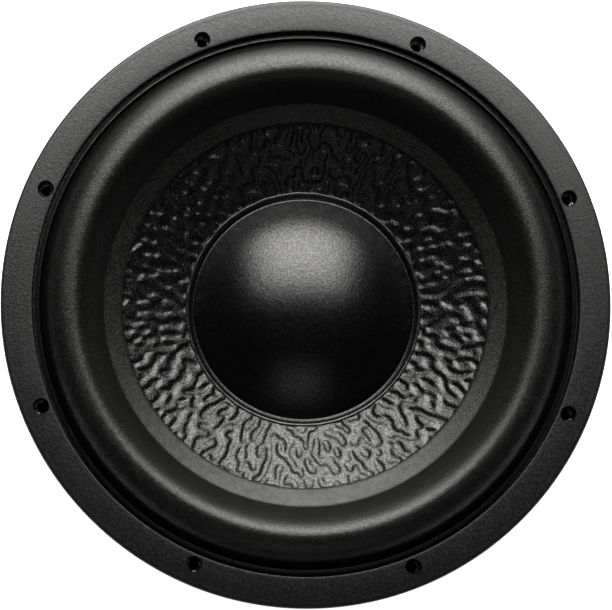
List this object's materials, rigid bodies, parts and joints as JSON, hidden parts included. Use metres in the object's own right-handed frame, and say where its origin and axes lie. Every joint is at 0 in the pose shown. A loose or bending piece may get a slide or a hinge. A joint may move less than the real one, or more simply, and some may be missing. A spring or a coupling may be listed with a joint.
{
  "type": "car subwoofer speaker",
  "caption": "Round black car subwoofer driver: tall foam roll, crumpled paper cone, plain dust cap, cast basket, rubber-booted magnet and sprung push terminals.",
  "frame": {"origin": "centre of the mounting flange's back face, on the driver's axis", "axes": "+Z along the axis out of the front of the cone, so the driver stands on its magnet; +Y towards terminal 1"},
  "size_m": [0.318, 0.318, 0.1876],
  "materials": {
    "basket_coating": "satin",
    "black_screw": "satin",
    "gasket_rubber": "matte",
    "surround_foam": "satin",
    "spider_cloth": "matte",
    "cone_paper": "satin",
    "cap_shell": "satin",
    "adhesive": "satin",
    "former_foil": "satin",
    "collar_paper": "matte",
    "winding": "satin",
    "plate_steel": "satin",
    "ferrite": "matte",
    "screen_mesh": "satin",
    "boot_rubber": "matte",
    "terminal_plastic": "satin",
    "contact_metal": "polished",
    "button_red": "gloss",
    "button_black": "gloss",
    "spring_steel": "satin",
    "zinc_screw": "satin",
    "tinsel_braid": "satin"
  },
  "bodies": {
    "frame": {"basket": "basket_coating", "frame_screws": "black_screw", "mounting_gasket": "gasket_rubber", "surround": "surround_foam", "spider": "spider_cloth", "top_plate": "plate_steel", "magnet_rear": "ferrite", "magnet_front": "ferrite", "t_yoke": "plate_steel", "pole_vent_screen": "screen_mesh", "magnet_boot": "boot_rubber", "terminal_base_1": "terminal_plastic", "terminal_base_2": "terminal_plastic", "terminal_contacts_1": "contact_metal", "terminal_contacts_2": "contact_metal", "button_spring_red_1": "spring_steel", "button_spring_black_1": "spring_steel", "button_spring_red_2": "spring_steel", "button_spring_black_2": "spring_steel", "terminal_screws": "zinc_screw", "tinsel_lead_red_1": "tinsel_braid", "tinsel_lead_black_1": "tinsel_braid", "tinsel_lead_red_2": "tinsel_braid", "tinsel_lead_black_2": "tinsel_braid"},
    "cone_assembly": {"cone": "cone_paper", "dust_cap": "cap_shell", "dust_cap_glue_bead": "adhesive", "voice_coil_former": "former_foil", "former_collar": "collar_paper", "voice_coil_inner": "winding", "voice_coil_outer": "winding"},
    "button_red_1": {"button_red_1": "button_red"},
    "button_black_1": {"button_black_1": "button_black"},
    "button_red_2": {"button_red_2": "button_red"},
    "button_black_2": {"button_black_2": "button_black"}
  },
  "joints": [
    {"name": "cone_travel", "type": "slide", "parent": "frame", "child": "cone_assembly", "axis": [0, 0, 1], "range_m": [-0.015, 0.015], "stiffness_N_per_m": 6000, "springref_m": 0.0005, "deforming": ["surround", "spider", "tinsel_lead_red_1", "tinsel_lead_black_1", "tinsel_lead_red_2", "tinsel_lead_black_2"]},
    {"name": "button_red_1_push", "type": "slide", "parent": "frame", "child": "button_red_1", "axis": [0, -1, 0], "range_m": [0, 0.004], "stiffness_N_per_m": 800, "springref_m": -0.003, "deforming": ["button_spring_red_1"]},
    {"name": "button_black_1_push", "type": "slide", "parent": "frame", "child": "button_black_1", "axis": [0, -1, 0], "range_m": [0, 0.004], "stiffness_N_per_m": 800, "springref_m": -0.003, "deforming": ["button_spring_black_1"]},
    {"name": "button_red_2_push", "type": "slide", "parent": "frame", "child": "button_red_2", "axis": [0, 1, 0], "range_m": [0, 0.004], "stiffness_N_per_m": 800, "springref_m": -0.003, "deforming": ["button_spring_red_2"]},
    {"name": "button_black_2_push", "type": "slide", "parent": "frame", "child": "button_black_2", "axis": [0, 1, 0], "range_m": [0, 0.004], "stiffness_N_per_m": 800, "springref_m": -0.003, "deforming": ["button_spring_black_2"]}
  ]
}
